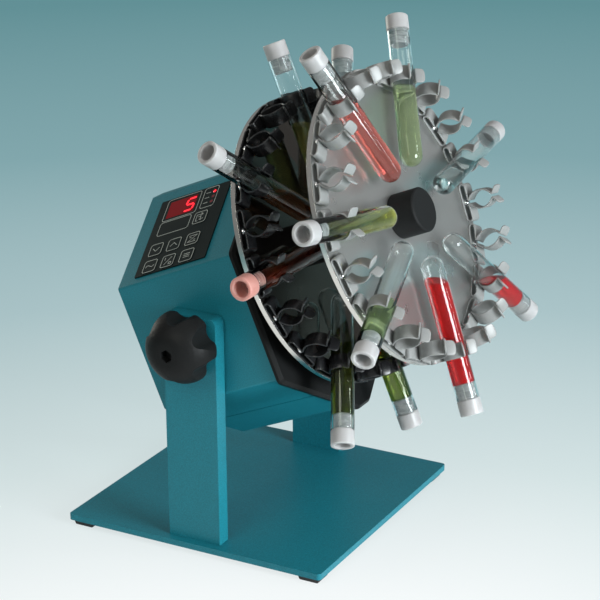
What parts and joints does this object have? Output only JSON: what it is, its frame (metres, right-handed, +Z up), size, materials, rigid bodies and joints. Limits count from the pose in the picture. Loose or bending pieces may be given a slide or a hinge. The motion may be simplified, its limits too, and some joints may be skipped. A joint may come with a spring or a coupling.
{
  "type": "tube rotator",
  "caption": "Bench tube rotator: a tilting motor head on a two-post stand turns two discs with spring clips that hold test tubes.",
  "frame": {"origin": "middle of the footprint between the four feet, on the bench", "axes": "the disc side faces -Y, +X to its right as seen from the back, +Z up; the tilt axis is along X"},
  "size_m": [0.2613, 0.2525, 0.3169],
  "materials": {
    "teal_paint": "fine textured powder coat, satin",
    "black_rubber": "matte",
    "steel": "plated",
    "black_plastic": "fine satin moulding",
    "membrane": "satin printed film",
    "red_window": "dark red, clear",
    "red_led": "moulded lens",
    "circuit": "solder resist",
    "iron_core": "laminated core",
    "bronze": "sintered",
    "polished_aluminium": "fine brushed, near mirror",
    "black_clip": "black coated spring steel",
    "grey_clip": "light grey coated spring steel",
    "chrome": "polished",
    "clear_glass": "clear",
    "white_cap": "translucent polythene",
    "liquid": "coloured liquids"
  },
  "bodies": {
    "stand": {"base_plate": "teal_paint", "foot_front_left": "black_rubber", "foot_front_right": "black_rubber", "foot_rear_left": "black_rubber", "foot_rear_right": "black_rubber", "foot_screws": "steel", "upright_left": "teal_paint", "upright_right": "teal_paint", "upright_screws": "steel"},
    "knob_left": {"star_knob_left": "black_plastic", "clamp_stud_left": "steel"},
    "knob_right": {"star_knob_right": "black_plastic", "clamp_stud_right": "steel"},
    "rotor": {"drive_shaft": "steel", "rear_hub": "polished_aluminium", "rear_disc": "polished_aluminium", "spacer": "black_plastic", "front_disc": "polished_aluminium", "hub_knob": "black_plastic", "rear_clips": "black_clip", "front_clips": "grey_clip", "rear_clip_screws": "chrome", "front_clip_screws": "chrome", "rear_tubes": "clear_glass", "front_tubes": "clear_glass", "rear_caps": "white_cap", "front_caps": "white_cap", "tube_liquids": "liquid"},
    "rocker": {"switch_rocker": "black_plastic"},
    "key_down_body": {"key_down": "membrane"},
    "key_up_body": {"key_up": "membrane"},
    "key_turn_body": {"key_turn": "membrane"},
    "key_wave_body": {"key_wave": "membrane"},
    "key_start_body": {"key_start": "membrane"},
    "key_set_body": {"key_set": "membrane"},
    "key_repeat_body": {"key_repeat": "membrane"},
    "head": {"housing_upper": "teal_paint", "housing_lower": "teal_paint", "rear_panel": "teal_paint", "rear_panel_screws": "steel", "front_plate": "black_plastic", "pivot_boss_left": "steel", "pivot_boss_right": "steel", "friction_washer_left": "black_plastic", "friction_washer_right": "black_plastic", "keypad_overlay": "membrane", "display_window": "red_window", "display_module": "circuit", "indicator_leds": "red_led", "control_board": "circuit", "power_supply": "iron_core", "chassis_plate": "steel", "motor_plate": "steel", "motor_screws": "steel", "gearbox": "steel", "motor": "steel", "front_bearing": "bronze", "mains_inlet": "black_plastic", "inlet_pins": "steel", "switch_frame": "black_plastic"}
  },
  "joints": [
    {"name": "head_tilt", "type": "hinge", "parent": "stand", "child": "head", "pos_m": [0, 0, 0.138], "axis": [-1, 0, 0], "range_deg": [-23, 67]},
    {"name": "rotor_spin", "type": "hinge", "parent": "head", "child": "rotor", "pos_m": [0, -0.04697, 0.18547], "axis": [0, -0.9205, 0.3907], "continuous": true},
    {"name": "knob_left_turn", "type": "hinge", "parent": "head", "child": "knob_left", "pos_m": [-0.0975, 0, 0.138], "axis": [-1, 0, 0], "range_deg": [0, 360]},
    {"name": "knob_right_turn", "type": "hinge", "parent": "head", "child": "knob_right", "pos_m": [0.0975, 0, 0.138], "axis": [1, 0, 0], "range_deg": [0, 360]},
    {"name": "key_down_press", "type": "slide", "parent": "head", "child": "key_down_body", "axis": [0.522, -0.3333, -0.7852], "range_m": [0, 0.0004], "stiffness_N_per_m": 1500, "springref_m": -0.0003},
    {"name": "key_up_press", "type": "slide", "parent": "head", "child": "key_up_body", "axis": [0.522, -0.3333, -0.7852], "range_m": [0, 0.0004], "stiffness_N_per_m": 1500, "springref_m": -0.0003},
    {"name": "key_turn_press", "type": "slide", "parent": "head", "child": "key_turn_body", "axis": [0.522, -0.3333, -0.7852], "range_m": [0, 0.0004], "stiffness_N_per_m": 1500, "springref_m": -0.0003},
    {"name": "key_wave_press", "type": "slide", "parent": "head", "child": "key_wave_body", "axis": [0.522, -0.3333, -0.7852], "range_m": [0, 0.0004], "stiffness_N_per_m": 1500, "springref_m": -0.0003},
    {"name": "key_start_press", "type": "slide", "parent": "head", "child": "key_start_body", "axis": [0.522, -0.3333, -0.7852], "range_m": [0, 0.0004], "stiffness_N_per_m": 1500, "springref_m": -0.0003},
    {"name": "key_set_press", "type": "slide", "parent": "head", "child": "key_set_body", "axis": [0.522, -0.3333, -0.7852], "range_m": [0, 0.0004], "stiffness_N_per_m": 1500, "springref_m": -0.0003},
    {"name": "key_repeat_press", "type": "slide", "parent": "head", "child": "key_repeat_body", "axis": [0.522, -0.3333, -0.7852], "range_m": [0, 0.0004], "stiffness_N_per_m": 1500, "springref_m": -0.0003},
    {"name": "switch_rock", "type": "hinge", "parent": "head", "child": "rocker", "pos_m": [0.018, 0.02446, 0.09268], "axis": [1, 0, 0], "range_deg": [-20, 0]}
  ]
}
